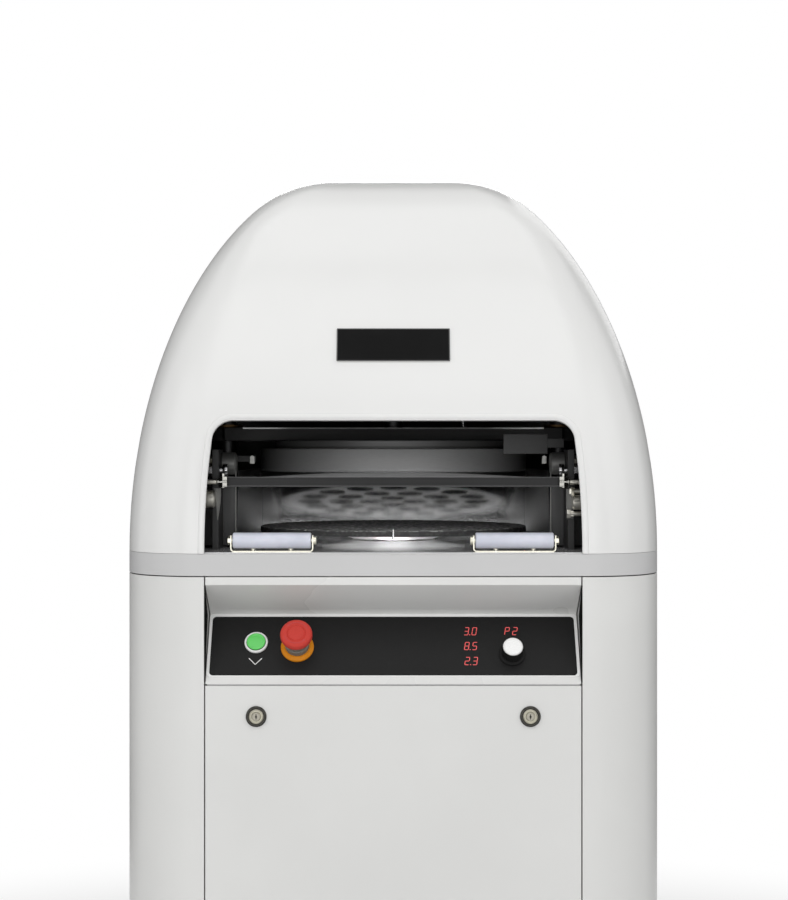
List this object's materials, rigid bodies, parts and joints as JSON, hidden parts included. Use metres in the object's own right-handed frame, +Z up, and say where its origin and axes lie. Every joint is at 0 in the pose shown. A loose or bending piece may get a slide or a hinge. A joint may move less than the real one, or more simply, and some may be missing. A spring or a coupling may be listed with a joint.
{
  "type": "divider rounder",
  "caption": "Floor-standing dough divider rounder: domed tilting hood over a press head and orbiting plate, front loading slot, sloping control panel in a recess, door below.",
  "frame": {"origin": "on the floor below the middle of the body", "axes": "+Z up, the front with the controls faces -Y, +X to the right as seen from the front"},
  "size_m": [0.682, 0.7264, 1.4403],
  "materials": {
    "hood_gloss": "smooth gloss moulded shell",
    "cover_paint": "satin powder coat",
    "band_paint": "satin paint on cast aluminium",
    "stainless": "brushed stainless sheet",
    "zinc": "bright zinc plated",
    "steel": "ground steel",
    "dark_steel": "black painted steel",
    "frame_steel": "grey primer on plate",
    "aluminium": "turned aluminium",
    "bronze": "turned bronze",
    "rubber": "moulded rubber",
    "roller_plastic": "turned white nylon",
    "plate_dark": "dark coated plate",
    "overlay_black": "polycarbonate film",
    "badge_black": "gloss black, bare",
    "black_plastic": "moulded",
    "white_plastic": "moulded",
    "green_plastic": "moulded",
    "red_plastic": "moulded",
    "yellow_plastic": "moulded",
    "display_red": "smoked display block",
    "pump_blue": "enamel"
  },
  "bodies": {
    "frame": {"base_plate": "frame_steel", "levelling_feet": "rubber", "side_plates": "frame_steel", "front_rail": "frame_steel", "table_casting": "band_paint", "table_sheet": "stainless", "splash_back": "stainless", "splash_sides": "stainless", "guard_cheeks": "dark_steel", "guide_columns": "steel", "top_bridge": "dark_steel", "press_cylinder": "frame_steel", "pressure_pipe": "zinc", "pump_unit": "pump_blue", "drive_motor": "frame_steel", "drive_belt": "rubber", "shaft_bearings": "frame_steel", "guard_pivots": "zinc", "roller_brackets": "zinc", "bracket_screws": "zinc", "roller_axles": "zinc", "left_cover": "cover_paint", "right_cover": "cover_paint", "rear_cover": "cover_paint", "cable_gland": "black_plastic", "control_fascia": "cover_paint", "panel_overlay": "overlay_black", "led_displays": "display_red", "switch_bodies": "black_plastic", "start_bezel": "white_plastic", "stop_collar": "yellow_plastic", "door_hinges": "frame_steel", "hinge_bases": "zinc"},
    "motor_spindle": {"motor_pulley": "aluminium"},
    "crank": {"main_crank": "steel", "drive_pulley": "aluminium"},
    "idler_left": {"idler_crank_left": "steel"},
    "idler_right": {"idler_crank_right": "steel"},
    "rounding": {"rounding_plate": "plate_dark", "hub_dish": "stainless"},
    "head": {"crosshead": "dark_steel", "head_bushes": "bronze", "head_drum": "aluminium", "divider_ring": "stainless", "piston_rod": "steel"},
    "press": {"press_plate": "aluminium"},
    "guard": {"guard_bar": "stainless"},
    "left_roller": {"roller_left": "roller_plastic"},
    "right_roller": {"roller_right": "roller_plastic"},
    "start": {"start_button": "green_plastic"},
    "stop": {"stop_head": "red_plastic"},
    "knob": {"knob_skirt": "black_plastic"},
    "knob_top": {"knob_cap": "white_plastic"},
    "door": {"front_door": "cover_paint", "lock_barrels": "zinc"},
    "left_lock": {"lock_cam_left": "zinc"},
    "right_lock": {"lock_cam_right": "zinc"},
    "hood": {"hood_shell": "hood_gloss", "badge_plate": "badge_black", "hood_leaves": "zinc"}
  },
  "joints": [
    {"name": "hood_tilt", "type": "hinge", "parent": "frame", "child": "hood", "pos_m": [0, 0.3572, 0.93015], "axis": [-1, 0, 0], "range_deg": [0, 65]},
    {"name": "guard_swing", "type": "hinge", "parent": "frame", "child": "guard", "pos_m": [0, -0.26, 1.033], "axis": [1, 0, 0], "range_deg": [0, 20], "stiffness_Nm_per_rad": 0.5, "springref_deg": -14.32},
    {"name": "head_press", "type": "slide", "parent": "frame", "child": "head", "axis": [0, 0, -1], "range_m": [0, 0.038]},
    {"name": "press_stroke", "type": "slide", "parent": "head", "child": "press", "axis": [0, 0, -1], "range_m": [0, 0.016]},
    {"name": "crank_turn", "type": "hinge", "parent": "frame", "child": "crank", "pos_m": [0, 0.012, 0.93], "axis": [0, 0, 1], "continuous": true},
    {"name": "rounding_orbit", "type": "hinge", "parent": "crank", "child": "rounding", "pos_m": [0, 0, 0.943], "axis": [0, 0, 1], "continuous": true},
    {"name": "idler_left_turn", "type": "hinge", "parent": "frame", "child": "idler_left", "pos_m": [-0.135, 0.012, 0.93], "axis": [0, 0, 1], "continuous": true},
    {"name": "idler_right_turn", "type": "hinge", "parent": "frame", "child": "idler_right", "pos_m": [0.135, 0.012, 0.93], "axis": [0, 0, 1], "continuous": true},
    {"name": "motor_turn", "type": "hinge", "parent": "frame", "child": "motor_spindle", "pos_m": [0, 0.202, 0.82], "axis": [0, 0, 1], "continuous": true},
    {"name": "left_roller_spin", "type": "hinge", "parent": "frame", "child": "left_roller", "pos_m": [-0.152, -0.325, 0.9455], "axis": [1, 0, 0], "continuous": true},
    {"name": "right_roller_spin", "type": "hinge", "parent": "frame", "child": "right_roller", "pos_m": [0.152, -0.325, 0.9455], "axis": [1, 0, 0], "continuous": true},
    {"name": "start_push", "type": "slide", "parent": "frame", "child": "start", "axis": [0, 0.807, -0.5905], "range_m": [0, 0.0035], "stiffness_N_per_m": 300, "springref_m": -0.002},
    {"name": "stop_push", "type": "slide", "parent": "frame", "child": "stop", "axis": [0, 0.807, -0.5905], "range_m": [0, 0.005]},
    {"name": "knob_turn", "type": "hinge", "parent": "frame", "child": "knob", "pos_m": [0.149, -0.32543, 0.80208], "axis": [0, -0.807, 0.5905], "continuous": true},
    {"name": "knob_push", "type": "slide", "parent": "knob", "child": "knob_top", "axis": [0, 0.807, -0.5905], "range_m": [0, 0.0015], "stiffness_N_per_m": 300, "springref_m": -0.001},
    {"name": "door_tip", "type": "hinge", "parent": "frame", "child": "door", "pos_m": [0, -0.339, 0.075], "axis": [1, 0, 0], "range_deg": [0, 35]},
    {"name": "left_lock_turn", "type": "hinge", "parent": "door", "child": "left_lock", "pos_m": [-0.17, -0.35, 0.7285], "axis": [0, -1, 0], "range_deg": [0, 90]},
    {"name": "right_lock_turn", "type": "hinge", "parent": "door", "child": "right_lock", "pos_m": [0.17, -0.35, 0.7285], "axis": [0, 1, 0], "range_deg": [0, 90]}
  ],
  "couplings": [
    {"joint": "rounding_orbit", "follows": "crank_turn", "ratio": -1},
    {"joint": "idler_left_turn", "follows": "crank_turn", "ratio": 1},
    {"joint": "idler_right_turn", "follows": "crank_turn", "ratio": 1},
    {"joint": "motor_turn", "follows": "crank_turn", "ratio": 2.2857}
  ]
}
